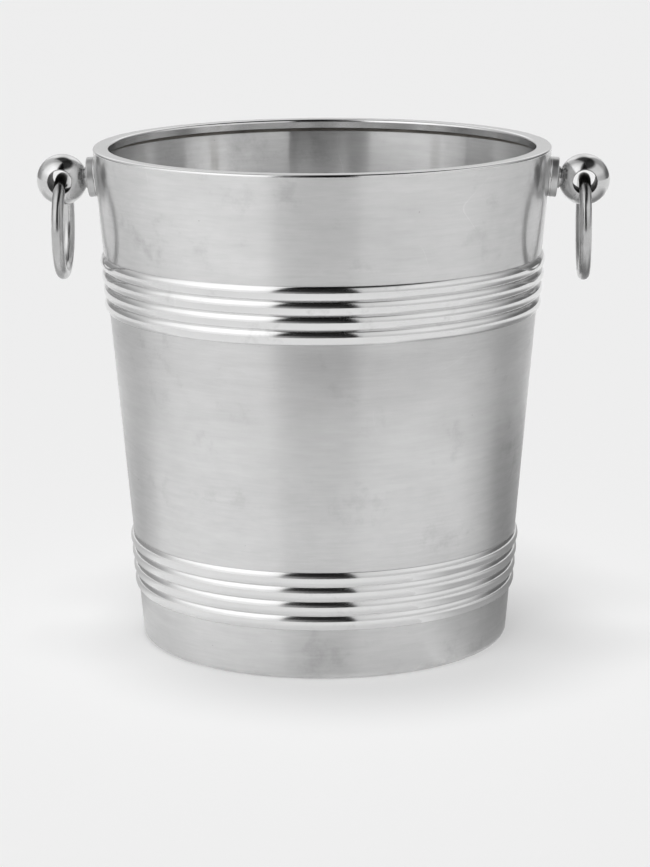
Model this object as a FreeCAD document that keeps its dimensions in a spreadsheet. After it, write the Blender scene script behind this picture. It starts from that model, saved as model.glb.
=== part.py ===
import FreeCAD, Part
import math
import os
import re

import Sketcher

# A one-bottle champagne bucket of silver-plated brass, in millimetres.
# The origin is the centre of the foot on the table, +Z is up and the ring handles are on -X and +X.

SIZES = {
    # The wall is one cone of sheet metal; the two radii are those of its outer face.
    "OverallHeight": 220.0,
    "MouthRadius": 100.6,
    "BaseRadius": 81.5,
    "WallThickness": 1.2,
    "BaseCornerRadius": 3.2,
    "FootRingWidth": 8.0,
    # The bottom is a disc that lies on the turned-in foot ring.
    "BottomThickness": 1.2,
    "BottomClearance": 0.2,
    # The rim is a channel: a flat top, a leg inside the wall and a collar round the mouth.
    "RimWidth": 7.1,
    "RimThickness": 1.2,
    "RimOuterRounding": 1.1,
    "RimInnerRounding": 1.2,
    "CollarDepth": 4.0,
    "RimLegGap": 1.2,
    "RimClearance": 0.05,
    # The reeded bands; a reed's rise is measured from the crease beside it. The upper band is
    # placed by its drop below the mouth and the lower band by its height above the table.
    "BandBacking": 0.25,
    "UpperBandDrop": 46.7,
    "UpperReedPitch": 6.3,
    "UpperReedRise": 1.45,
    "LowerBandTop": 48.6,
    "LowerReedPitch": 6.5,
    "LowerReedRise": 1.2,
    # The handle mounts stand square to the wall at this drop below the mouth.
    "MountDrop": 14.1,
    "SaddleThickness": 0.8,
    "LugFootRadius": 8.75,
    "LugFootThickness": 3.0,
    "LugFootRounding": 0.45,
    "NeckRadius": 4.35,
    "NeckLength": 1.35,
    "AstragalWidth": 1.0,
    "AstragalRise": 0.55,
    "BallRadius": 11.2,
    "RingHoleRadius": 5.25,
    "RingHoleChamfer": 0.4,
    # The stud, washer and nut that hold a mount to the wall.
    "StudRadius": 2.5,
    "StudClearance": 0.1,
    "StudWeb": 1.2,
    "InnerWasherRadius": 7.0,
    "InnerWasherThickness": 1.2,
    "NutWidth": 8.0,
    "NutHexHeight": 4.0,
    "NutDomeRadius": 3.7,
    "NutBoreDepth": 5.5,
    # The ring of round wire that hangs in the ball.
    "RingRadius": 21.0,
    "RingWireRadius": 2.65,
    "RingClearance": 0.35,
}
REEDS = 4
SIDES = {"left": -1, "right": 1}

doc = FreeCAD.newDocument("champagne_bucket")
sheet = doc.addObject("Spreadsheet::Sheet", "Sizes")
for row, (word, size) in enumerate(SIZES.items(), start=1):
    sheet.set(f"A{row}", word)
    sheet.set(f"B{row}", str(size))
    sheet.setAlias(f"B{row}", word)
doc.recompute()


def named(text):
    """The expression with the sheet's name before each of its aliases."""
    return re.sub(r"\b([A-Z]\w+)", r"Sizes.\1", text)


def number(text):
    """The value of an expression of the sheet's words."""
    value = sheet.evalExpression(named(text))
    return float(getattr(value, "Value", value))


# Expressions that several pieces share.
SLOPE = "((MouthRadius - BaseRadius) / OverallHeight)"
LEAN = f"atan({SLOPE})"
MOUNT_HEIGHT = "(OverallHeight - MountDrop)"
SHEET_ACROSS = f"(WallThickness / cos({LEAN}))"
INNER_CORNER = "(BaseCornerRadius - WallThickness)"
BALL_CENTRE = "(LugFootThickness + NeckLength + sqrt(BallRadius ^ 2 - NeckRadius ^ 2))"
BALL_OFFSET = f"(SaddleThickness + {BALL_CENTRE})"
STUD_IN_LUG = f"({BALL_CENTRE} - RingHoleRadius - StudWeb)"
NUT_SEAT = "(WallThickness + InnerWasherThickness)"
HOLE_HALF_LENGTH = "(sqrt(BallRadius ^ 2 - RingHoleRadius ^ 2) - RingHoleChamfer)"


def outer_wall(height):
    """Radius of the wall's outer face at a height."""
    return f"(BaseRadius + {SLOPE} * ({height}))"


def inner_wall(height):
    """Radius of the wall's inner face at a height."""
    return f"({outer_wall(height)} - {SHEET_ACROSS})"


def turned(name, outline, arcs=None):
    """A body turned about its own Z axis from a closed half section.

    outline is the (radius, height) of each corner in turn, anticlockwise, as expressions.
    arcs gives the radius of each side that is a round, bulging out of the section.
    """
    arcs = arcs or {}
    body = doc.addObject("PartDesign::Body", name)
    sketch = body.newObject("Sketcher::SketchObject", name + "_section")
    plane = next(item for item in body.Origin.OriginFeatures if item.Role == "XZ_Plane")
    sketch.AttachmentSupport = (plane, [""])
    sketch.MapMode = "FlatFace"
    corners = [FreeCAD.Vector(number(radius), number(height), 0) for radius, height in outline]
    starts = []
    ends = []
    for side, start in enumerate(corners):
        end = corners[(side + 1) % len(corners)]
        geometry = Part.LineSegment(start, end)
        if side in arcs:
            radius = number(arcs[side])
            half = (end - start) * 0.5
            out = FreeCAD.Vector(half.y, -half.x, 0).normalize()
            rise = radius - math.sqrt(radius ** 2 - half.Length ** 2)
            geometry = Part.Arc(start, start + half + out * rise, end)
        index = sketch.addGeometry(geometry, False)
        first = 1 if sketch.getPoint(index, 1).isEqual(start, 1e-6) else 2
        starts.append((index, first))
        ends.append((index, 3 - first))
    for side, (radius, height) in enumerate(outline):
        sketch.addConstraint(Sketcher.Constraint("Coincident", *ends[side - 1], *starts[side]))
        for kind, axis, text in (("DistanceX", -2, radius), ("DistanceY", -1, height)):
            if text == "0":
                sketch.addConstraint(Sketcher.Constraint("PointOnObject", *starts[side], axis))
                continue
            place = Sketcher.Constraint(kind, -1, 1, *starts[side], number(text))
            index = sketch.addConstraint(place)
            sketch.setExpression(f"Constraints[{index}]", named(text))
        if side in arcs:
            round_size = Sketcher.Constraint("Radius", starts[side][0], number(arcs[side]))
            index = sketch.addConstraint(round_size)
            sketch.setExpression(f"Constraints[{index}]", named(arcs[side]))
    turning = body.newObject("PartDesign::Revolution", name + "_turning")
    turning.Profile = (sketch, [""])
    turning.ReferenceAxis = (sketch, ["V_Axis"])
    turning.Angle = 360
    doc.recompute()
    return body


def circle_edges(shape, corners):
    """Names of the circular edges about Z at the given (radius, height) corners."""
    wanted = [(number(radius), number(height)) for radius, height in corners]
    names = []
    for place, edge in enumerate(shape.Edges, start=1):
        if edge.Degenerated or not isinstance(edge.Curve, Part.Circle):
            continue
        for radius, height in wanted:
            if math.hypot(edge.Curve.Radius - radius, edge.Curve.Center.z - height) < 1e-4:
                names.append(f"Edge{place}")
    return names


def round_off(body, size, *corners):
    """Rounds a turned body's edges at the given corners to a size of the sheet."""
    base = body.Tip
    fillet = body.newObject("PartDesign::Fillet", f"{body.Name}_{size}")
    fillet.Base = (base, circle_edges(base.Shape, corners))
    fillet.setExpression("Radius", named(size))
    doc.recompute()


def primitive(kind, name, **sizes):
    """A Part primitive whose sizes are bound to expressions."""
    item = doc.addObject(f"Part::{kind}", name)
    for prop, text in sizes.items():
        item.setExpression(prop, named(text))
    return item


def boolean(kind, name, base, tool):
    """A Part boolean of two objects."""
    item = doc.addObject(f"Part::{kind}", name)
    item.Base = base
    item.Tool = tool
    doc.recompute()
    return item


def on_mount_axis(item, side, offset, outwards=True):
    """Puts an object's own origin on the mount's axis, at an offset from the wall's face.

    Its own Z axis points away from the wall, or into the bucket if outwards is false.
    The axis is square to the wall, so it dips by the wall's lean.
    """
    way = SIDES[side]
    turn = f"90 deg + {LEAN}" if outwards else f"90 deg - {LEAN}"
    axis = FreeCAD.Vector(0, way if outwards else -way, 0)
    item.Placement = FreeCAD.Placement(FreeCAD.Vector(), FreeCAD.Rotation(axis, number(turn)))
    reach = f"{outer_wall(MOUNT_HEIGHT)} + ({offset}) * cos({LEAN})"
    item.setExpression(".Placement.Base.x", named(f"{way} * ({reach})"))
    item.setExpression(".Placement.Base.z", named(f"{MOUNT_HEIGHT} - ({offset}) * sin({LEAN})"))
    item.setExpression(".Placement.Rotation.Angle", named(turn))
    doc.recompute()


# Solids that stand for the space inside the wall's two faces, and the drill for each stud.
outer_cone = primitive(
    "Cone", "outer_cone", Radius1="BaseRadius", Radius2="MouthRadius", Height="OverallHeight"
)
inner_cone = primitive(
    "Cone", "inner_cone", Radius1=inner_wall("0"), Radius2=inner_wall("OverallHeight"),
    Height="OverallHeight",
)
drills = {}
for side in SIDES:
    drill = primitive("Cylinder", f"{side}_drill", Radius="StudRadius + StudClearance",
                      Height=f"4 * {NUT_SEAT}")
    on_mount_axis(drill, side, f"-2 * {NUT_SEAT}")
    drills[side] = drill

pieces = {}

# The wall: a cone rolled and seamed from sheet, its lower edge turned in to stand on.
wall = turned("wall_turning", [
    ("BaseRadius - FootRingWidth", "0"),
    ("BaseRadius", "0"),
    (outer_wall("OverallHeight - RimThickness"), "OverallHeight - RimThickness"),
    (inner_wall("OverallHeight - RimThickness"), "OverallHeight - RimThickness"),
    (inner_wall("WallThickness"), "WallThickness"),
    ("BaseRadius - FootRingWidth", "WallThickness"),
])
round_off(wall, "BaseCornerRadius", ("BaseRadius", "0"))
round_off(wall, INNER_CORNER, (inner_wall("WallThickness"), "WallThickness"))
wall = boolean("Cut", "wall_drilled_left", wall, drills["left"])
pieces["body_wall"] = boolean("Cut", "wall_drilled", wall, drills["right"])

# The bottom: a flat disc soldered down on the foot ring, just inside the wall's round corner.
BOTTOM_RADIUS = f"({inner_wall('WallThickness')} - {INNER_CORNER} - BottomClearance)"
pieces["bottom_plate"] = turned("bottom_turning", [
    ("0", "WallThickness"),
    (BOTTOM_RADIUS, "WallThickness"),
    (BOTTOM_RADIUS, "WallThickness + BottomThickness"),
    ("0", "WallThickness + BottomThickness"),
])

# The rim: a channel whose top caps the wall, with a collar that turns down round the mouth and
# a leg inside the wall that ends a gap above the washers of the handle mounts.
MOUTH_BORE = "(MouthRadius - RimWidth)"
RIM_UNDER = "(OverallHeight - RimThickness)"
LEG_END = f"({MOUNT_HEIGHT} + InnerWasherRadius + RimLegGap)"
rim = turned("rim_turning", [
    (MOUTH_BORE, "OverallHeight - CollarDepth"),
    (f"{MOUTH_BORE} + RimThickness", "OverallHeight - CollarDepth"),
    (f"{MOUTH_BORE} + RimThickness", RIM_UNDER),
    (f"{inner_wall(RIM_UNDER)} - RimClearance - RimThickness", RIM_UNDER),
    (f"{inner_wall(LEG_END)} - RimClearance - RimThickness", LEG_END),
    (f"{inner_wall(LEG_END)} - RimClearance", LEG_END),
    (f"{inner_wall(RIM_UNDER)} - RimClearance", RIM_UNDER),
    (outer_wall(RIM_UNDER), RIM_UNDER),
    ("MouthRadius", "OverallHeight"),
    (MOUTH_BORE, "OverallHeight"),
])
round_off(rim, "RimOuterRounding", ("MouthRadius", "OverallHeight"))
round_off(rim, "RimInnerRounding", (MOUTH_BORE, "OverallHeight"))
pieces["mouth_rim"] = rim


def reeded_band(name, top, pitch, rise):
    """A band of half-round reeds on a thin backing, lying on the wall's outer face.

    Each reed is an arc from one crease to the next, so its radius follows from the distance
    between them and its rise.
    """
    creases = [f"({top} - {reed} * {pitch})" for reed in range(REEDS, -1, -1)]
    outline = [(outer_wall(creases[0]), creases[0])]
    outline += [(f"{outer_wall(crease)} + BandBacking", crease) for crease in creases]
    outline += [(outer_wall(creases[-1]), creases[-1])]
    chord = f"({pitch} / cos({LEAN}))"
    radius = f"({chord} ^ 2 / 4 + {rise} ^ 2) / (2 * {rise})"
    return turned(name, outline, {side: radius for side in range(1, REEDS + 1)})


pieces["upper_reeded_band"] = reeded_band(
    "upper_band_turning", "(OverallHeight - UpperBandDrop)", "UpperReedPitch", "UpperReedRise"
)
pieces["lower_reeded_band"] = reeded_band(
    "lower_band_turning", "LowerBandTop", "LowerReedPitch", "LowerReedRise"
)


def saddle_plate(side):
    """A round plate, flat outside and hollowed at the back to lie on the wall."""
    blank = primitive("Cylinder", f"{side}_saddle_blank", Radius="LugFootRadius",
                      Height=f"{NUT_SEAT} + SaddleThickness")
    on_mount_axis(blank, side, f"-{NUT_SEAT}")
    hollowed = boolean("Cut", f"{side}_saddle_hollowed", blank, outer_cone)
    return boolean("Cut", f"{side}_saddle", hollowed, drills[side])


def ball_lug(side):
    """The foot, astragal neck and ball turned in one, bored for the stud and for the ring."""
    bead_start = "(LugFootThickness + (NeckLength - AstragalWidth) / 2)"
    ball_start = "(LugFootThickness + NeckLength)"
    lug = turned(f"{side}_lug_turning", [
        ("0", "0"),
        ("LugFootRadius", "0"),
        ("LugFootRadius", "LugFootThickness"),
        ("NeckRadius", "LugFootThickness"),
        ("NeckRadius", bead_start),
        ("NeckRadius", f"{bead_start} + AstragalWidth"),
        ("NeckRadius", ball_start),
        ("BallRadius", BALL_CENTRE),
        ("0", f"{BALL_CENTRE} + BallRadius"),
    ], {
        4: "(AstragalWidth ^ 2 / 4 + AstragalRise ^ 2) / (2 * AstragalRise)",
        6: "BallRadius",
        7: "BallRadius",
    })
    round_off(lug, "LugFootRounding", ("LugFootRadius", "LugFootThickness"))
    stud_bore = primitive("Cylinder", f"{side}_stud_bore", Radius="StudRadius + StudClearance",
                          Height=STUD_IN_LUG)
    bored = boolean("Cut", f"{side}_lug_bored", lug, stud_bore)
    ring_hole = primitive("Cylinder", f"{side}_ring_hole", Radius="RingHoleRadius",
                          Height="4 * BallRadius")
    ring_hole.Placement.Rotation = FreeCAD.Rotation(FreeCAD.Vector(1, 0, 0), 90)
    ring_hole.setExpression(".Placement.Base.y", named("2 * BallRadius"))
    ring_hole.setExpression(".Placement.Base.z", named(BALL_CENTRE))
    lug = boolean("Cut", f"{side}_lug_holed", bored, ring_hole)
    for end, turn in (("front", 90), ("back", -90)):
        sink = primitive("Cone", f"{side}_{end}_sink", Radius1="RingHoleRadius",
                         Radius2="RingHoleRadius + BallRadius", Height="BallRadius")
        sink.Placement.Rotation = FreeCAD.Rotation(FreeCAD.Vector(1, 0, 0), turn)
        way = -1 if end == "front" else 1
        sink.setExpression(".Placement.Base.y", named(f"{way} * {HOLE_HALF_LENGTH}"))
        sink.setExpression(".Placement.Base.z", named(BALL_CENTRE))
        lug = boolean("Cut", f"{side}_lug_{end}_sunk", lug, sink)
    on_mount_axis(lug, side, "SaddleThickness")
    return lug


def lug_stud(side):
    """A plain rod from the lug's blind bore through the wall to the nut."""
    inside = f"({NUT_SEAT} + NutBoreDepth - StudClearance)"
    stud = primitive("Cylinder", f"{side}_stud", Radius="StudRadius",
                     Height=f"{inside} + SaddleThickness + {STUD_IN_LUG} - StudClearance")
    on_mount_axis(stud, side, f"-{inside}")
    return stud


def inner_washer(side):
    """A round washer, shaped outside to the wall and flat inside for the nut."""
    blank = primitive("Cylinder", f"{side}_washer_blank", Radius="InnerWasherRadius",
                      Height=NUT_SEAT)
    on_mount_axis(blank, side, f"-{NUT_SEAT}")
    shaped = boolean("Common", f"{side}_washer_shaped", blank, inner_cone)
    return boolean("Cut", f"{side}_washer", shaped, drills[side])


def dome_nut(side):
    """A six-sided nut with a domed end, bored blind."""
    flats = primitive("Prism", f"{side}_nut_flats", Circumradius="NutWidth / 2 / cos(30)",
                      Height="NutHexHeight")
    flats.Polygon = 6
    dome = primitive("Sphere", f"{side}_nut_dome", Radius="NutDomeRadius")
    dome.setExpression(".Placement.Base.z", named("NutHexHeight"))
    nut = boolean("Fuse", f"{side}_nut_blank", flats, dome)
    bore = primitive("Cylinder", f"{side}_nut_bore", Radius="StudRadius + StudClearance",
                     Height="NutBoreDepth")
    nut = boolean("Cut", f"{side}_nut", nut, bore)
    on_mount_axis(nut, side, f"-{NUT_SEAT}", outwards=False)
    return nut


def ring_handle(side):
    """A ring of round wire, hung in the ball with a small gap under it.

    The wire bears on the two mouths of the hole, where the ring has already curved down.
    """
    ring = primitive("Torus", f"{side}_ring", Radius1="RingRadius", Radius2="RingWireRadius")
    ring.Placement.Rotation = FreeCAD.Rotation(FreeCAD.Vector(0, 1, 0), 90)
    reach = f"({outer_wall(MOUNT_HEIGHT)} + {BALL_OFFSET} * cos({LEAN}))"
    ball_height = f"({MOUNT_HEIGHT} - {BALL_OFFSET} * sin({LEAN}))"
    bearing = f"sqrt((RingRadius - RingWireRadius) ^ 2 - {HOLE_HALF_LENGTH} ^ 2)"
    drop = f"(RingHoleRadius + {bearing} - RingClearance)"
    ring.setExpression(".Placement.Base.x", named(f"{SIDES[side]} * {reach}"))
    ring.setExpression(".Placement.Base.z", named(f"{ball_height} - {drop}"))
    doc.recompute()
    return ring


for side in SIDES:
    for make in (saddle_plate, ball_lug, lug_stud, inner_washer, dome_nut, ring_handle):
        pieces[f"{side}_{make.__name__}"] = make(side)

for node, piece in pieces.items():
    piece.Label = node
doc.recompute()

for item in doc.Objects:
    if "Invalid" in item.State or "Error" in item.State:
        raise RuntimeError(f"{item.Name} did not compute: {item.State}")
for node, piece in pieces.items():
    if piece.Shape.isNull() or not piece.Shape.isValid() or not piece.Shape.Solids:
        raise RuntimeError(f"{node} has no valid solid")

os.makedirs("parts", exist_ok=True)
for node, piece in pieces.items():
    piece.Shape.exportStep(f"parts/{node}.step")
    box = piece.Shape.BoundBox
    print(f"{node}: {piece.Shape.Volume:.0f} mm3, z {box.ZMin:.2f} to {box.ZMax:.2f}")
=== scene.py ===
import math

import bpy
import numpy as np
from mathutils import Matrix, Vector


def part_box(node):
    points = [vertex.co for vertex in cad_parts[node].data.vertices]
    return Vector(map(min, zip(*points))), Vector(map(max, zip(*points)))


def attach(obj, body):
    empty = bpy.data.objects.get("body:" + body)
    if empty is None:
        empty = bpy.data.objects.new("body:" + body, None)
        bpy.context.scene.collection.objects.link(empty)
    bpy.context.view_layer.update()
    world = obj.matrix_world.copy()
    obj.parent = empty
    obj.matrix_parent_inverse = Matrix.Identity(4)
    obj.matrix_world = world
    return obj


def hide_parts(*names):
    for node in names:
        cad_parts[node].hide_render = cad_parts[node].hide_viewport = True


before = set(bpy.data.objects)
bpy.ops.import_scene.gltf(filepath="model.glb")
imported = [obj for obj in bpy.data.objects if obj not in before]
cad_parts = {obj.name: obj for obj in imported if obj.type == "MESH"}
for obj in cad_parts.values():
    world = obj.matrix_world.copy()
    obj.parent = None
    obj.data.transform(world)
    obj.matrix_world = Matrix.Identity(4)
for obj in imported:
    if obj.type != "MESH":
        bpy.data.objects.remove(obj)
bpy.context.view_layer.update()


# ---------------------------------------------------------------------------------------------
# Body wall. One cone of brass sheet, spun to shape, its lower edge turned in as a foot ring.
# It is silver plated, rubbed satin outside on the lathe and brushed brighter inside.
# ---------------------------------------------------------------------------------------------
MM = 0.001
MOUTH_RADIUS = 100.6 * MM
BASE_RADIUS = 81.5 * MM
SHEET = 1.2 * MM
BASE_CORNER = 3.2 * MM
FOOT_RING_WIDTH = 8.0 * MM
EDGE_SOFTNESS = 0.12 * MM
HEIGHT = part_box("mouth_rim")[1].z
WALL_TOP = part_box("body_wall")[1].z
SLOPE = (MOUTH_RADIUS - BASE_RADIUS) / HEIGHT
LEAN = math.atan(SLOPE)
SHEET_ACROSS = SHEET / math.cos(LEAN)
ROUND_SEGMENTS = 720
WALL_SPACING = 5.0 * MM
SUPPORT = 0.03 * MM


def outer_wall(height):
    """Radius of the wall's outer face: base radius plus slope times height."""
    return BASE_RADIUS + SLOPE * height


def inner_wall(height):
    """Radius of the wall's inner face: the outer face less the sheet, measured level."""
    return outer_wall(height) - SHEET_ACROSS


def run(start, end, spacing):
    """Points along a straight run, even, with one more close to each end.

    The close points keep a rounded corner's smooth shading off the flat beside it.
    """
    start, end = np.asarray(start, float), np.asarray(end, float)
    length = np.linalg.norm(end - start)
    steps = max(1, int(math.ceil(length / spacing)))
    shares = np.linspace(0, 1, steps + 1)
    near = min(0.25, SUPPORT / max(length, 1e-9))
    shares = np.unique(np.concatenate([shares, [near, 1 - near]]))
    return start + (end - start) * shares[:, None]


def outline(corners, spacing=2.5 * MM, steps=8, closed=True):
    """An outline with rounded corners: each corner is (radius, height, rounding).

    The round at a corner is the arc of that radius that touches both runs, worked out by
    turning the vector from its centre to the first touching point towards the second.
    """
    places = np.array([corner[:2] for corner in corners], float)
    pieces = []
    touching = []
    for index, corner in enumerate(corners):
        back = places[index - 1] - places[index]
        ahead = places[(index + 1) % len(corners)] - places[index]
        back, ahead = back / np.linalg.norm(back), ahead / np.linalg.norm(ahead)
        half = math.acos(np.clip(back @ ahead, -1, 1)) / 2
        reach = corner[2] / math.tan(half)
        first, last = places[index] + back * reach, places[index] + ahead * reach
        if corner[2] > 0:
            middle = back + ahead
            centre = places[index] + middle / np.linalg.norm(middle) * corner[2] / math.sin(half)
            sweep = math.pi - 2 * half
            shares = np.linspace(0, 1, steps + 1)[:, None]
            from_first = np.sin((1 - shares) * sweep) * (first - centre)
            to_last = np.sin(shares * sweep) * (last - centre)
            pieces.append(centre + (from_first + to_last) / math.sin(sweep))
        else:
            pieces.append(places[index][None])
        touching.append((first, last))
    points = []
    for index, piece in enumerate(pieces):
        points.append(piece)
        following = touching[(index + 1) % len(corners)][0]
        if closed or index + 1 < len(corners):
            points.append(run(touching[index][1], following, spacing)[1:-1])
    return np.concatenate(points)


def shell(grid, poles=False):
    """Points and faces of a grid (rows, columns, 3) whose columns run round and join up.

    Row by row the points step along the profile. The last row joins the first, or, with poles,
    the first and the last row each draw together in one point on the axis.
    """
    rows, columns, _ = grid.shape
    column = np.arange(columns)
    beside = (column + 1) % columns
    if not poles:
        row = np.arange(rows)[:, None] * columns
        above = (np.arange(1, rows + 1) % rows)[:, None] * columns
        quads = np.stack([row + column, row + beside, above + beside, above + column], axis=-1)
        return grid.reshape(-1, 3), quads.reshape(-1, 4).tolist()
    row = np.arange(rows - 3)[:, None] * columns + 1
    above = row + columns
    quads = np.stack([row + column, row + beside, above + beside, above + column], axis=-1)
    last = (rows - 2) * columns + 1
    near_last = last - columns
    first_fan = np.stack([np.zeros_like(column), beside + 1, column + 1], axis=-1)
    last_fan = np.stack([near_last + column, near_last + beside, 0 * column + last], axis=-1)
    points = np.concatenate([grid[0, :1], grid[1:-1].reshape(-1, 3), grid[-1, :1]])
    return points, quads.reshape(-1, 4).tolist() + first_fan.tolist() + last_fan.tolist()


def surface(name, *shells):
    """One object from closed shells, each given as (points, faces)."""
    points = np.concatenate([part[0] for part in shells])
    faces = []
    count = 0
    for part_points, part_faces in shells:
        faces += [[corner + count for corner in face] for face in part_faces]
        count += len(part_points)
    mesh = bpy.data.meshes.new(name)
    mesh.from_pydata(points, [], faces)
    mesh.shade_smooth()
    piece = bpy.data.objects.new(name, mesh)
    bpy.context.scene.collection.objects.link(piece)
    return piece


def turned(profile, segments=ROUND_SEGMENTS):
    """Grid of a profile (radius, height) carried round Z: (r cos a, r sin a, z)."""
    angle = np.linspace(0, 2 * math.pi, segments, endpoint=False)[None, :]
    radius = profile[:, 0][:, None] + np.zeros_like(angle)
    height = profile[:, 1][:, None] + np.zeros_like(angle)
    return np.stack([radius * np.cos(angle), radius * np.sin(angle), height], axis=-1)


def srgb(code):
    """Linear colour of an sRGB hex code."""
    parts = [int(code[place:place + 2], 16) / 255 for place in (1, 3, 5)]
    linear = (p / 12.92 if p <= 0.04045 else ((p + 0.055) / 1.055) ** 2.4 for p in parts)
    return (*linear, 1.0)


def node(tree, kind, inputs=(), **settings):
    """Adds a node and returns its outputs.

    inputs are in the order of its sockets, or a dict by socket; another node's output is linked
    and anything else is set as the value. settings are the node's properties.
    """
    item = tree.nodes.new(f"ShaderNode{kind}")
    for name, value in settings.items():
        setattr(item, name, value)
    for socket, value in (inputs if isinstance(inputs, dict) else dict(enumerate(inputs))).items():
        if isinstance(value, bpy.types.NodeSocket):
            tree.links.new(value, item.inputs[socket])
        else:
            item.inputs[socket].default_value = value
    return item.outputs


def new_material(name):
    """An empty material and its node tree."""
    material = bpy.data.materials.new(name)
    material.use_nodes = True
    material.node_tree.nodes.clear()
    return material, material.node_tree


# The marks of use on the plate. Clouds of tarnish and smudges of fingers are (size, detail and
# roughness of their noise, and the two levels between which they set in), and a smudge goes on
# with its shade before and after. A nick's levels are shares of the spacing, so that it is 0.4
# to 0.8 mm across. A hairline scratch is a contour of slow noise, shown only in some patches and
# drawn wider than a real one, so that it shows at all.
CLOUD = (38.46 * MM, 6.0, 0.62, 0.32, 0.62)
SMUDGE = (24.39 * MM, 8.0, 0.72, 0.57, 0.72, 1.0, 0.82)
NICK_SPACING, NICK_LEVELS, NICK_DARK = 16.13 * MM, (0.012, 0.024), 0.45
SCRATCH_SWEEP, SCRATCH_PATCH = 71.43 * MM, 30.3 * MM
SCRATCH_CONTOUR, SCRATCH_WIDTH = 0.5, 0.0008
SCRATCH_LEVELS, SCRATCH_BRIGHT = (0.55, 0.6), 0.1
PLAIN_ROUGHNESS = 0.55


def tarnished(tree, place, colour, darkest, lines=1.0):
    """The plate's colour, times tarnish, smudges, dark nicks, pale scratches and lines."""
    together = lines
    for size, detail, roughness, *levels in ((*CLOUD, darkest, 1.0), SMUDGE):
        mark = node(tree, "TexNoise", {"Vector": place, "Scale": 1 / size, "Detail": detail,
                                       "Roughness": roughness})["Fac"]
        mark = node(tree, "MapRange", (mark, *levels))[0]
        together = node(tree, "Math", (together, mark), operation="MULTIPLY")[0]
    cells = node(tree, "TexVoronoi", {"Vector": place, "Scale": 1 / NICK_SPACING})["Distance"]
    nicks = node(tree, "MapRange", (cells, *NICK_LEVELS, NICK_DARK, 1.0))[0]
    sweep, patch = [node(tree, "TexNoise", {"Vector": place, "Scale": 1 / size, "Detail": 1.0,
                                            "Roughness": PLAIN_ROUGHNESS})["Fac"]
                    for size in (SCRATCH_SWEEP, SCRATCH_PATCH)]
    contour = node(tree, "Math", (sweep, SCRATCH_CONTOUR, SCRATCH_WIDTH), operation="COMPARE")[0]
    patch = node(tree, "MapRange", (patch, *SCRATCH_LEVELS, 0.0, SCRATCH_BRIGHT))[0]
    scratches = node(tree, "Math", (contour, patch, 1.0), operation="MULTIPLY_ADD")[0]
    for mark in (nicks, scratches):
        together = node(tree, "Math", (together, mark), operation="MULTIPLY")[0]
    grey = node(tree, "CombineColor", (together,) * 3)[0]
    return node(tree, "Mix", {0: 1.0, 6: srgb(colour), 7: grey}, data_type="RGBA",
                blend_type="MULTIPLY")[2]


# The lathe's strokes, as (length, width). Real ones are a tenth of a millimetre wide; these are
# drawn as coarse as they need to show.
FINE_STROKE, FINE_STROKE_DARK = (14.286 * MM, 1.1111 * MM), 0.93
COARSE_STROKE, COARSE_STROKE_DARK = (37.037 * MM, 5.8824 * MM), 0.95
MOST_OF_NOISE = (0.3, 0.7)
# How hard the wall was rubbed is given at these heights, and wanders a little from place to
# place. The wall below the upper band is a shade duller. Painted shade darkens it under the collar.
RUBBED_HEIGHTS = (0.02, 0.06, 0.095, 0.115, 0.142, 0.172)
RUBBED_PATCH = 58.82 * MM
SHARE_WANDERS = 0.05
LOWER_WALL_DARK = 0.955
COLLAR_SHADE_HEIGHTS = (0.2135, 0.2141)
SATIN_TARNISH = 0.92
# The sheet is not quite even: long, shallow waves from spinning bend its reflections.
WAVE, WAVE_DEPTH = 22.22 * MM, 0.05 * MM
# A quarter turn lays the smear across the scratches.
QUARTER_TURN = 0.25


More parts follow.
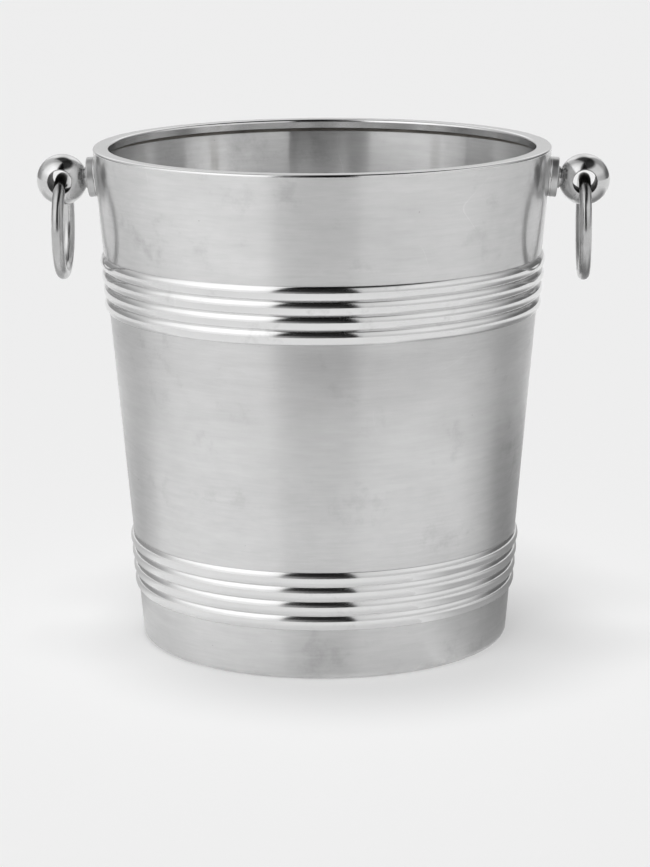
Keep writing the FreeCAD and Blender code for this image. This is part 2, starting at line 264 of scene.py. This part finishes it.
def satin_plate(name, colour, roughness, rubbed, collar_shade=1.0):
    """Silver plate rubbed satin round and round on the lathe.

    It mirrors sharply level and smears upright, because its scratches all run round the piece.
    Two sheens lie over each other, a burnished one and a rubbed one, with a roughness each.
    rubbed is the second one's share at the heights in RUBBED_HEIGHTS, carried straight from one
    to the next. The last argument is how dark the painted shade is under the rim's collar.
    """
    material, tree = new_material(name)
    place = node(tree, "TexCoord")["Object"]
    height = node(tree, "SeparateXYZ", (place,))["Z"]
    strokes = []
    for length, width in (FINE_STROKE, COARSE_STROKE):
        drawn = node(tree, "Mapping", {"Vector": place,
                                       "Scale": (1 / length, 1 / length, 1 / width)})[0]
        strokes.append(node(tree, "TexNoise", {"Vector": drawn, "Scale": 1.0, "Detail": 4.0,
                                               "Roughness": 0.6})["Fac"])
    fine, coarse = strokes
    patches = node(tree, "TexNoise", {"Vector": place, "Scale": 1 / RUBBED_PATCH, "Detail": 5.0,
                                      "Roughness": 0.6})["Fac"]
    share = rubbed[0]
    steps = [(height, *RUBBED_HEIGHTS[index:index + 2], 0, rubbed[index + 1] - rubbed[index])
             for index in range(len(RUBBED_HEIGHTS) - 1)]
    wanders = [(pattern, *MOST_OF_NOISE, 0, SHARE_WANDERS) for pattern in (patches, coarse)]
    for change in steps + wanders:
        change = node(tree, "MapRange", change)[0]
        share = node(tree, "Math", (share, change), operation="ADD")[0]
    # The lines: the lathe's strokes, the duller lower wall and the painted shade under the collar.
    lines = 1.0
    for shade in ((fine, *MOST_OF_NOISE, FINE_STROKE_DARK, 1.0),
                  (coarse, *MOST_OF_NOISE, COARSE_STROKE_DARK, 1.0),
                  (height, *RUBBED_HEIGHTS[-2:], LOWER_WALL_DARK, 1.0),
                  (height, *COLLAR_SHADE_HEIGHTS, 1.0, collar_shade)):
        shade = node(tree, "MapRange", shade)[0]
        lines = node(tree, "Math", (lines, shade), operation="MULTIPLY")[0]
    tint = tarnished(tree, place, colour, SATIN_TARNISH, lines)
    waves = node(tree, "TexNoise", {"Vector": place, "Scale": 1 / WAVE, "Detail": 2.0,
                                    "Roughness": PLAIN_ROUGHNESS})["Fac"]
    waves = node(tree, "Bump", {"Height": waves, "Strength": 1.0, "Distance": WAVE_DEPTH})[0]
    tangent = node(tree, "Tangent", direction_type="RADIAL", axis="Z")[0]
    sheens = [node(tree, "BsdfPrincipled", {
        "Base Color": tint, "Normal": waves, "Tangent": tangent, "Metallic": 1.0,
        "Roughness": sheen, "Anisotropic": 1.0, "Anisotropic Rotation": QUARTER_TURN,
    })[0] for sheen in roughness]
    both = node(tree, "MixShader", (share, *sheens))[0]
    node(tree, "OutputMaterial", {"Surface": both})
    return material


def dress(piece, body, slot, material, *nodes):
    """Gives a piece its material and body and hides the CAD nodes it stands for; slot is not used.
    """
    piece.data.materials.append(material)
    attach(piece, body)
    if nodes:
        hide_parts(*nodes)


wall_profile = outline([
    (BASE_RADIUS - FOOT_RING_WIDTH, 0, EDGE_SOFTNESS),
    (BASE_RADIUS, 0, BASE_CORNER),
    (outer_wall(WALL_TOP), WALL_TOP, 0.0),
    (inner_wall(WALL_TOP), WALL_TOP, 0.0),
    (inner_wall(SHEET), SHEET, BASE_CORNER - SHEET),
    (BASE_RADIUS - FOOT_RING_WIDTH, SHEET, EDGE_SOFTNESS),
], spacing=WALL_SPACING)
# The outside is a soft grey with broad upright bands of light. It is rubbed hardest just below
# the upper band of reeds.
satin = satin_plate("satin_silver_plate", "#EEEEEE", roughness=(0.17, 0.42),
                    rubbed=(0.48, 0.27, 0.30, 0.48, 0.85, 0.48))
# The lining has hardly been touched: it is whiter and mirrors more clearly. Shade is painted
# into it just under the collar.
lining = satin_plate("brushed_lining", "#FAFAFA", roughness=(0.14, 0.30),
                     rubbed=(0.28,) * len(RUBBED_HEIGHTS), collar_shade=0.75)


def second_finish(piece, material, chosen):
    """Gives a piece's chosen faces another material; chosen takes their centres and normals."""
    faces = piece.data.polygons
    centres, normals = np.empty(len(faces) * 3), np.empty(len(faces) * 3)
    faces.foreach_get("center", centres)
    faces.foreach_get("normal", normals)
    finishes = np.empty(len(faces), np.int32)
    faces.foreach_get("material_index", finishes)
    finishes[chosen(centres.reshape(-1, 3), normals.reshape(-1, 3))] = len(piece.data.materials)
    piece.data.materials.append(material)
    faces.foreach_set("material_index", finishes)


wall = surface("bucket_wall", shell(turned(wall_profile)))
dress(wall, "bucket", "satin_silver_plate", satin, "body_wall")
# The lining is every face that looks towards the axis.
second_finish(wall, lining,
              lambda centres, normals: (centres[:, :2] * normals[:, :2]).sum(axis=1) < 0)


# ---------------------------------------------------------------------------------------------
# Bottom plate. A flat disc of the same sheet, laid on the foot ring from inside and soldered
# all round.
# ---------------------------------------------------------------------------------------------
BOTTOM_SEGMENTS = 360
bottom_low, bottom_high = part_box("bottom_plate")
bottom_profile = outline([
    (0, bottom_low.z, 0),
    (bottom_high.x, bottom_low.z, EDGE_SOFTNESS),
    (bottom_high.x, bottom_high.z, EDGE_SOFTNESS),
    (0, bottom_high.z, 0),
], closed=False)
bottom = surface("bottom_disc", shell(turned(bottom_profile, BOTTOM_SEGMENTS), poles=True))
dress(bottom, "bucket", "satin_silver_plate", satin, "bottom_plate")


# ---------------------------------------------------------------------------------------------
# Mouth rim. A channel folded from strip: its polished top caps the wall, a collar turns down
# round the mouth and a leg lies inside the wall, soldered and dressed flush outside.
# ---------------------------------------------------------------------------------------------
RIM_WIDTH = 7.1 * MM
RIM_SHEET = 1.2 * MM
RIM_CLEARANCE = 0.05 * MM
COLLAR_DEPTH = 4.0 * MM
RIM_OUTER_ROUNDING = 1.1 * MM
RIM_INNER_ROUNDING = 1.2 * MM
RIM_SPACING = 0.5 * MM
JOINT_MARGIN = 0.01 * MM
leg_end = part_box("mouth_rim")[0].z
rim_under = HEIGHT - RIM_SHEET
mouth_bore = MOUTH_RADIUS - RIM_WIDTH
leg = RIM_CLEARANCE + RIM_SHEET
rim_profile = outline([
    (mouth_bore, HEIGHT - COLLAR_DEPTH, EDGE_SOFTNESS),
    (mouth_bore + RIM_SHEET, HEIGHT - COLLAR_DEPTH, EDGE_SOFTNESS),
    (mouth_bore + RIM_SHEET, rim_under, 0.0),
    (inner_wall(rim_under) - leg, rim_under, 0.0),
    (inner_wall(leg_end) - leg, leg_end, EDGE_SOFTNESS),
    (inner_wall(leg_end) - RIM_CLEARANCE, leg_end, EDGE_SOFTNESS),
    (inner_wall(rim_under) - RIM_CLEARANCE, rim_under, 0.0),
    (outer_wall(rim_under), rim_under, 0.0),
    (MOUTH_RADIUS, HEIGHT, RIM_OUTER_ROUNDING),
    (mouth_bore, HEIGHT, RIM_INNER_ROUNDING),
], spacing=RIM_SPACING)
# Handling dulls the polish in patches. The dents of cloths and hands are drawn wider than real
# ones, so that they show.
WORN_PATCH, WORN_RANGE = 12.5 * MM, (0.75, 1.3)
DENT, DENT_DEPTH = 1.1111 * MM, 0.02 * MM


def polished_plate(name, colour, roughness, tarnish, scratch):
    """Bright silver plate, polished and then lightly scratched by cloths and hands.

    The mirror is clear but not perfect: small scratches run every way and soften it here and
    there, and tarnish clouds it. tarnish is how dark its clouds are, and scratch how deep the
    dents are as a share of DENT_DEPTH.
    """
    material, tree = new_material(name)
    place = node(tree, "TexCoord")["Object"]
    worn = node(tree, "TexNoise", {"Vector": place, "Scale": 1 / WORN_PATCH, "Detail": 6.0,
                                   "Roughness": 0.65})["Fac"]
    worn = node(tree, "MapRange", (worn, *MOST_OF_NOISE,
                                   *(share * roughness for share in WORN_RANGE)))[0]
    dents = node(tree, "TexNoise", {"Vector": place, "Scale": 1 / DENT, "Detail": 3.0,
                                    "Roughness": PLAIN_ROUGHNESS})["Fac"]
    dents = node(tree, "Bump", {"Height": dents, "Strength": scratch, "Distance": DENT_DEPTH})[0]
    tint = tarnished(tree, place, colour, tarnish)
    shader = node(tree, "BsdfPrincipled", {"Base Color": tint, "Roughness": worn,
                                           "Normal": dents, "Metallic": 1.0})[0]
    node(tree, "OutputMaterial", {"Surface": shader})
    return material


# The rim is nearly a mirror: it shows the room in thin, sharp lines.
polished = polished_plate("polished_silver_plate", "#E8E8E8", roughness=0.12, tarnish=0.95,
                          scratch=0.15)
rim = surface("rim_channel", shell(turned(rim_profile)))
dress(rim, "bucket", "polished_silver_plate", polished, "mouth_rim")
# Painted shade: the rim's leg below the collar is dark and dull, a painted shadow of the gap
# behind the collar that makes a dark line round the mouth.
gap_shade = polished_plate("collar_gap_shade", "#8A8680", roughness=0.45, tarnish=0.7, scratch=0.3)
second_finish(rim, gap_shade,
              lambda centres, normals: centres[:, 2] < HEIGHT - COLLAR_DEPTH - JOINT_MARGIN)


# ---------------------------------------------------------------------------------------------
# Reeded bands. Strip rolled with four half-round reeds, bent round the wall and soldered on,
# then polished so that each reed is a bright line with a dark crease beside it.
# ---------------------------------------------------------------------------------------------
REEDS = 4
BAND_BACKING = 0.25 * MM
UPPER_RISE = 1.45 * MM
LOWER_RISE = 1.2 * MM
REED_POINTS = 22


def reeded_profile(low, high, rise):
    """Outline of a band: a thin back on the wall and an arc from each crease to the next.

    An arc of chord c and rise s has the radius (c^2 / 4 + s^2) / 2s; its points crowd towards
    the creases, so that each crease stays sharp.
    """
    creases = np.linspace(low, high, REEDS + 1)
    radii = outer_wall(creases) + BAND_BACKING
    shares = (1 - np.cos(np.linspace(0, math.pi, REED_POINTS))) / 2
    points = [np.array([[outer_wall(low), low]])]
    for reed in range(REEDS):
        start = np.array([radii[reed], creases[reed]])
        end = np.array([radii[reed + 1], creases[reed + 1]])
        chord = np.linalg.norm(end - start)
        radius = (chord ** 2 / 4 + rise ** 2) / (2 * rise)
        half = math.asin(chord / 2 / radius)
        along = (end - start) / chord
        out = np.array([along[1], -along[0]])
        turn = (shares * 2 - 1) * half
        centre = (start + end) / 2 - out * (radius - rise)
        arc = centre + radius * (np.sin(turn)[:, None] * along + np.cos(turn)[:, None] * out)
        points.append(arc if reed == 0 else arc[1:])
    points.append(np.array([[outer_wall(high), high]]))
    return np.concatenate(points)


for band, rise in (("upper_reeded_band", UPPER_RISE), ("lower_reeded_band", LOWER_RISE)):
    low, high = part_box(band)
    reeds = surface(band.replace("reeded_band", "reeds"),
                    shell(turned(reeded_profile(low.z, high.z, rise))))
    dress(reeds, "bucket", "polished_silver_plate", polished, band)


# ---------------------------------------------------------------------------------------------
# Handle mounts. Each is a ball with its neck and round foot turned in one piece from brass,
# cross-bored for the ring, standing square to the wall on a saddle plate.
# ---------------------------------------------------------------------------------------------
MOUNT_DROP = 14.1 * MM
SADDLE = 0.8 * MM
LUG_FOOT_RADIUS = 8.75 * MM
LUG_FOOT = 3.0 * MM
LUG_FOOT_ROUNDING = 0.45 * MM
NECK_RADIUS = 4.35 * MM
NECK_LENGTH = 1.35 * MM
ASTRAGAL = 1.0 * MM
ASTRAGAL_RISE = 0.55 * MM
BALL_RADIUS = 11.2 * MM
RING_HOLE_RADIUS = 5.25 * MM
RING_HOLE_CHAMFER = 0.4 * MM
NECK_IN_BALL = 3.4 * MM
BALL_SEGMENTS = 360
BALL_POINTS = 121
FOOT_SEGMENTS = 240
ASTRAGAL_POINTS = 13
NECK_SPACING = 0.8 * MM
CHAMFER_SPACING = 0.1 * MM
BORE_SPACING = 1.0 * MM
BORE_MARGIN = 0.1 * MM
SADDLE_ROWS = 12
SADDLE_EDGE = 0.995
# Hands have softened the ball's mirror a little.
handled = polished_plate("handled_silver_plate", "#DEDEDE", roughness=0.14, tarnish=0.8,
                         scratch=0.2)
# The bore, where the ring rubs, is painted nearly black: painted shade inside the cross hole.
bore = polished_plate("shaded_bore", "#3C3A38", roughness=0.45, tarnish=0.7, scratch=0.3)
# The lug's foot was rubbed dull together with the wall, and shows no sharp reflections.
rubbed_foot = polished_plate("rubbed_silver_plate", "#DADADA", roughness=0.4, tarnish=0.8,
                             scratch=0.2)
mount_height = HEIGHT - MOUNT_DROP
ball_centre = LUG_FOOT + NECK_LENGTH + math.sqrt(BALL_RADIUS ** 2 - NECK_RADIUS ** 2)


def mount_frame(way):
    """The mount's axes as columns (level, up the wall, outwards) and its origin on the wall."""
    out = np.array([way * math.cos(LEAN), 0, -math.sin(LEAN)])
    level = np.array([0, 1.0, 0])
    origin = np.array([way * outer_wall(mount_height), 0, mount_height])
    return np.stack([level, np.cross(out, level), out], axis=1), origin


def placed(grid, axes, origin):
    """A grid carried from its own axes to the bucket's: origin + x a + y b + z c."""
    return grid @ axes.T + origin


half_turn = np.linspace(0, math.pi, ASTRAGAL_POINTS)[1:-1]
astragal_start = LUG_FOOT + (NECK_LENGTH - ASTRAGAL) / 2
neck_end = ball_centre - BALL_RADIUS + NECK_IN_BALL
# The astragal is half an ellipse: out by the rise times sin a, along by the half width.
astragal = [(NECK_RADIUS + ASTRAGAL_RISE * math.sin(a),
             astragal_start + ASTRAGAL / 2 * (1 - math.cos(a)), 0) for a in half_turn]
neck_profile = outline([
    (0, 0, 0),
    (LUG_FOOT_RADIUS, 0, EDGE_SOFTNESS),
    (LUG_FOOT_RADIUS, LUG_FOOT, LUG_FOOT_ROUNDING),
    (NECK_RADIUS, LUG_FOOT, EDGE_SOFTNESS),
    (NECK_RADIUS, astragal_start, 0), *astragal, (NECK_RADIUS, astragal_start + ASTRAGAL, 0),
    (NECK_RADIUS, neck_end, 0),
    (0, neck_end, 0),
], spacing=NECK_SPACING, closed=False)
# The ball's section beside its cross hole: a round of the ball's radius between the two
# chamfered mouths of the hole, then back along the hole's wall. A chamfer at 45 degrees from the
# hole's edge (r, h) meets the ball's radius R at (r + c, h + c), where
# c = (sqrt(2 R^2 - (h - r)^2) - h - r) / 2.
hole_edge = math.sqrt(BALL_RADIUS ** 2 - RING_HOLE_RADIUS ** 2) - RING_HOLE_CHAMFER
chamfer = (math.sqrt(2 * BALL_RADIUS ** 2 - (hole_edge - RING_HOLE_RADIUS) ** 2)
           - hole_edge - RING_HOLE_RADIUS) / 2
chamfer_radius, chamfer_edge = RING_HOLE_RADIUS + chamfer, hole_edge + chamfer
mouth_angle = math.atan2(chamfer_edge, chamfer_radius)
round_ball = np.linspace(-mouth_angle, mouth_angle, BALL_POINTS)
ball_profile = np.concatenate([
    BALL_RADIUS * np.stack([np.cos(round_ball), np.sin(round_ball)], axis=1),
    run((chamfer_radius, chamfer_edge), (RING_HOLE_RADIUS, hole_edge), CHAMFER_SPACING)[1:-1],
    run((RING_HOLE_RADIUS, hole_edge), (RING_HOLE_RADIUS, -hole_edge), BORE_SPACING),
    run((RING_HOLE_RADIUS, -hole_edge), (chamfer_radius, -chamfer_edge), CHAMFER_SPACING)[1:-1],
])
# The section turns round Z; passing the axes on by one lays the hole along Y, front to back.
ball_grid = np.roll(turned(ball_profile, BALL_SEGMENTS), 1, axis=-1)


def saddle_grid(radius, thickness, face):
    """A round plate on the mount's axis, flat outside and hollowed to lie on a wall of radius face.

    A point level by q and up the wall by p from the axis meets the cone at the depth a where
    a^2 (c^2 - s^2) / c^2 + 2 a X / c + q^2 = 0, with X the cone's radius there and c and s the
    cosine and sine of its lean.
    """
    angle = np.linspace(0, 2 * math.pi, FOOT_SEGMENTS, endpoint=False)
    shares = np.concatenate([np.linspace(0, 1, SADDLE_ROWS)[:-1], [SADDLE_EDGE, 1.0]])[:, None]
    q, p = radius * shares * np.cos(angle), radius * shares * np.sin(angle)
    c, s = math.cos(LEAN), math.sin(LEAN)
    first, second = (c * c - s * s) / c ** 2, 2 * (face + p * s) / c
    depth = (-second + np.sqrt(second ** 2 - 4 * first * q ** 2)) / (2 * first)
    curved = np.stack([q, p, depth], axis=-1)
    flat = np.stack([q, p, np.full_like(q, thickness)], axis=-1)
    return np.concatenate([curved, flat[::-1]])


for side, way in (("left", -1), ("right", 1)):
    axes, origin = mount_frame(way)
    saddle = saddle_grid(LUG_FOOT_RADIUS, SADDLE, outer_wall(mount_height))
    plate = surface(f"{side}_saddle", shell(placed(saddle, axes, origin), poles=True))
    dress(plate, "bucket", "polished_silver_plate", handled, f"{side}_saddle_plate")
    seat = origin + axes[:, 2] * SADDLE
    middle = seat + axes[:, 2] * ball_centre
    neck = placed(turned(neck_profile, FOOT_SEGMENTS), axes, seat)
    ball = placed(ball_grid, axes, middle)
    lug = surface(f"{side}_lug", shell(neck, poles=True), shell(ball))
    dress(lug, "bucket", "polished_silver_plate", handled, f"{side}_ball_lug")
    # The painted shade of the bore goes on every face within the hole's radius of its axis, with
    # part of the chamfer.
    second_finish(lug, bore, lambda centres, normals: np.linalg.norm(
        (centres - middle)[:, ::2], axis=1) < RING_HOLE_RADIUS + BORE_MARGIN)
    second_finish(lug, rubbed_foot,
                  lambda centres, normals: (centres - seat) @ axes[:, 2] < LUG_FOOT)


# ---------------------------------------------------------------------------------------------
# Fixings. A stud screwed into each lug comes through the wall to a shaped washer and a domed
# nut inside. They are nickelled brass, which looks duller and warmer than the plate.
# ---------------------------------------------------------------------------------------------
nickelled = polished_plate("nickelled_brass", "#B9B4A8", roughness=0.21, tarnish=0.8, scratch=0.3)
for side in ("left", "right"):
    for part in ("lug_stud", "inner_washer", "dome_nut"):
        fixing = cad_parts[f"{side}_{part}"]
        fixing.data.materials.clear()
        fixing.data.materials.append(nickelled)


# ---------------------------------------------------------------------------------------------
# Ring handles. Round brass wire bent to a ring through the ball, brazed, plated and polished;
# they hang free and are scuffed where they swing.
# ---------------------------------------------------------------------------------------------
RING_WIRE = 2.65 * MM
RING_SEGMENTS = 360
WIRE_SEGMENTS = 72
# Swinging in the bore has scuffed the wire: it is greyer than the ball and its mirror softer.
scuffed = polished_plate("scuffed_silver_plate", "#D2D2D2", roughness=0.2, tarnish=0.7,
                         scratch=0.25)


def ring_grid(centre, radius):
    """A torus round the X axis: (w sin v, (R + w cos v) cos u, (R + w cos v) sin u) + centre."""
    u = np.linspace(0, 2 * math.pi, RING_SEGMENTS, endpoint=False)[None, :]
    v = np.linspace(0, 2 * math.pi, WIRE_SEGMENTS, endpoint=False)[:, None]
    reach, side_step = radius + RING_WIRE * np.cos(v), RING_WIRE * np.sin(v) + 0 * u
    return np.stack([side_step, reach * np.cos(u), reach * np.sin(u)], axis=-1) + np.asarray(centre)


for side in ("left", "right"):
    low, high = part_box(f"{side}_ring_handle")
    middle = (low + high) / 2
    ring = surface(f"{side}_ring", shell(ring_grid(middle, (high.z - low.z) / 2 - RING_WIRE)))
    dress(ring, f"{side}_ring", "polished_silver_plate", scuffed, f"{side}_ring_handle")


# ---------------------------------------------------------------------------------------------
# Studio. A pale floor under two soft lights, in a room that only the metal mirrors: a large lit
# sheet on the left that reaches overhead, a pale card on the right, a pale wall behind, grey
# cloths on the floor beside the object, and the dark in front, where the camera stands.
# ---------------------------------------------------------------------------------------------
VIEW_TURN = math.radians(2.27)
# How bright the room is along each bearing, low down and higher up. Bearings are in degrees from
# the camera's side, to the right if positive. HIGH_SHARES is the share of the higher level at
# each rise, in degrees above the floor, and STRENGTHS dims both to where the lights end overhead.
BEARINGS = (-180, -157, -149, -125, -112, -98, -60, -36, -27, -24, -10, 17.5, 18.5, 60,
            98, 108, 118, 148, 157, 180)
LOW_LEVELS = (0.65, 0.65, 0.3, 0.35, 0.45, 0.8, 1.05, 1.0, 0.88, 0.4, 0.18, 0.0, 0.66, 0.66,
              0.5, 0.3, 0.15, 0.15, 0.65, 0.65)
HIGH_LEVELS = (0.9, 1.15, 0.7, 0.6, 0.7, 1.1, 1.4, 1.3, 1.15, 0.03, 0.02, 0.01, 0.75, 0.95,
               0.8, 0.6, 0.4, 0.45, 1.15, 0.9)
RISES = (-2, 0, 12, 25, 48, 58, 90)
HIGH_SHARES = (0, 0, 0, 1, 1, 1, 1)
STRENGTHS = (1.0, 1.0, 1.0, 1.0, 0.95, 0.05, 0.03)
# The left light reaches further overhead than the rest.
TALL_BEARINGS = (-150, -135, -32, -27)
TALL_SHARES = (0, 1, 1, 0)
TALL_STRENGTHS = (1.0, 1.0, 1.0, 1.0, 1.0, 0.95, 0.35)
DOME_REACH = 4.0
DOME_BEARING_STEP = 4
DOME_RISE_STEP = 6
# Lit cloth glows evenly, as bright as its mesh says at each point.
WHITE = (1, 1, 1, 1)
lit, tree = new_material("lit_cloth")
level = node(tree, "Attribute", attribute_name="brightness")["Fac"]
node(tree, "OutputMaterial", {"Surface": node(tree, "Emission", (WHITE, level))[0]})


def dome_grid(bearings, rises):
    """Part of a sphere round the object: (R sin b cos e, -R cos b cos e, R sin e)."""
    b = VIEW_TURN + np.radians(bearings)[None, :]
    e = np.radians(rises)[:, None]
    across, rise = DOME_REACH * np.cos(e), DOME_REACH * np.sin(e)
    return np.stack([np.sin(b) * across, -np.cos(b) * across, rise + 0 * b], axis=-1)


def around_floor(bearings):
    """Points at one metre along bearings: (sin b, -cos b, 0)."""
    b = VIEW_TURN + np.radians(bearings)
    return np.stack([np.sin(b), -np.cos(b), 0 * b], axis=-1)


def reflected_only(name, grid, brightness):
    """A lit sheet, an open grid (rows, columns, 3), that is seen only in the metal."""
    rows, columns, _ = grid.shape
    corner = np.arange(rows - 1)[:, None] * columns + np.arange(columns - 1)
    quads = np.stack([corner, corner + columns, corner + columns + 1, corner + 1], axis=-1)
    mesh = bpy.data.meshes.new(name)
    mesh.from_pydata(grid.reshape(-1, 3), [], quads.reshape(-1, 4).tolist())
    levels = mesh.attributes.new("brightness", "FLOAT", "POINT")
    levels.data.foreach_set("value", brightness.ravel())
    mesh.materials.append(lit)
    piece = bpy.data.objects.new(name, mesh)
    bpy.context.scene.collection.objects.link(piece)
    piece.visible_camera = False
    piece.visible_diffuse = False
    piece.visible_shadow = False


bearings = np.unique(np.concatenate([BEARINGS, np.arange(-180, 181, DOME_BEARING_STEP)]))
rises = np.unique(np.concatenate([RISES, np.arange(0, 90, DOME_RISE_STEP)]))
high_share = np.interp(rises, RISES, HIGH_SHARES)[:, None]
low_level = np.interp(bearings, BEARINGS, LOW_LEVELS)
high_level = np.interp(bearings, BEARINGS, HIGH_LEVELS)
strength = np.interp(rises, RISES, STRENGTHS)[:, None]
tall_strength = np.interp(rises, RISES, TALL_STRENGTHS)[:, None]
tall_share = np.interp(bearings, TALL_BEARINGS, TALL_SHARES)
strength = strength + (tall_strength - strength) * tall_share
brightness = strength * (low_level + high_share * (high_level - low_level))
reflected_only("room_dome", dome_grid(bearings, rises), brightness)

# Grey cloths lie on the floor beside and behind the object. The right one is darker near the
# object: a painted shadow of the object on the floor, which the cloth hides from the metal. Each
# has its levels along its bearings, first near the object and then further out, and fades into
# the floor at its edge.
CLOTHS = {
    "right_cloth_and_shadow": ((38, 58, 72, 90, 105, 120, 150, 165),
                    (0.86, 0.5, 0.42, 0.34, 0.3, 0.28, 0.4, 0.8),
                    (0.86, 0.86, 0.86, 0.6, 0.32, 0.28, 0.4, 0.8)),
    "left_cloth": ((-165, -150, -120, -108, -95),
                   (0.86, 0.62, 0.55, 0.65, 0.86),
                   (0.86, 0.62, 0.55, 0.65, 0.86)),
}
CLOTH_REACHES = (0.083, 0.14, 0.2, 0.38, 0.6)
CLOTH_COLUMNS = 40
CLOTH_LIFT = 1.0 * MM
FLOOR_LEVEL = 0.86
for name, (stops, near_levels, far_levels) in CLOTHS.items():
    bearings = np.linspace(stops[0], stops[-1], CLOTH_COLUMNS)
    spread = np.stack([reach * around_floor(bearings) for reach in CLOTH_REACHES])
    near, far = np.interp(bearings, stops, near_levels), np.interp(bearings, stops, far_levels)
    brightness = np.stack([near, near, far, far, np.full_like(far, FLOOR_LEVEL)])
    reflected_only(name, spread + (0, 0, CLOTH_LIFT), brightness)

# The floor is white paper that glows by itself, so that it is as bright far away as near by. The
# rest of its white is dull, and takes the soft shadow.
FLOOR_REACH = 12.0
PAPER_GLOW = 0.485
PAPER_WHITE = (0.43, 0.43, 0.43, 1)
floor_mesh = bpy.data.meshes.new("floor")
floor_mesh.from_pydata([(-FLOOR_REACH, -FLOOR_REACH, 0), (FLOOR_REACH, -FLOOR_REACH, 0),
                        (FLOOR_REACH, FLOOR_REACH, 0), (-FLOOR_REACH, FLOOR_REACH, 0)],
                       [], [(0, 1, 2, 3)])
floor = bpy.data.objects.new("floor", floor_mesh)
bpy.context.scene.collection.objects.link(floor)
paper, tree = new_material("white_paper")
glowing = node(tree, "Emission", (WHITE, PAPER_GLOW))[0]
dull = node(tree, "BsdfDiffuse", (PAPER_WHITE,))[0]
node(tree, "OutputMaterial", {"Surface": node(tree, "AddShader", (glowing, dull))[0]})
floor_mesh.materials.append(paper)

# Nothing shines from beyond the room.
world = bpy.data.worlds.new("room")
bpy.context.scene.world = world
world.use_nodes = True
world.node_tree.nodes["Background"].inputs["Strength"].default_value = 0.0

# Two soft lights overhead, which the metal does not mirror and which give the floor its shadow:
# (direction towards the light, width in degrees, strength).
SOFT_LIGHTS = (
    ((-0.06, 0.1, 1.0), 17, 1.6),
    ((-0.06, -0.3, 1.0), 17, 1.15),
)
for index, (direction, width, strength) in enumerate(SOFT_LIGHTS):
    sun_data = bpy.data.lights.new(f"soft_light_{index}", "SUN")
    sun_data.angle = math.radians(width)
    sun_data.energy = strength
    sun = bpy.data.objects.new(f"soft_light_{index}", sun_data)
    bpy.context.scene.collection.objects.link(sun)
    sun.rotation_euler = Vector(direction).to_track_quat("Z", "Y").to_euler()
    sun.visible_glossy = False

# The camera stands in front, a little to the right, and looks a little down.
VIEW_DISTANCE = 1.3254
VIEW_HEIGHT = 0.3861
VIEW_PITCH = math.radians(12.59)
VIEW_ROLL = math.radians(-0.33)
LENS = 125.95
LENS_SHIFT = 0.0014
SEEN_TO = 50.0
camera_data = bpy.data.cameras.new("camera")
camera = bpy.data.objects.new("camera", camera_data)
bpy.context.scene.collection.objects.link(camera)
bpy.context.scene.camera = camera
camera_data.lens = LENS
camera_data.shift_x = LENS_SHIFT
camera_data.clip_end = SEEN_TO
camera.location = (VIEW_DISTANCE * math.sin(VIEW_TURN), -VIEW_DISTANCE * math.cos(VIEW_TURN),
                   VIEW_HEIGHT)
camera.rotation_euler = (
    Matrix.Rotation(VIEW_TURN, 4, "Z") @ Matrix.Rotation(math.pi / 2 - VIEW_PITCH, 4, "X")
    @ Matrix.Rotation(VIEW_ROLL, 4, "Z")
).to_euler()
bpy.context.scene.view_settings.view_transform = "Standard"
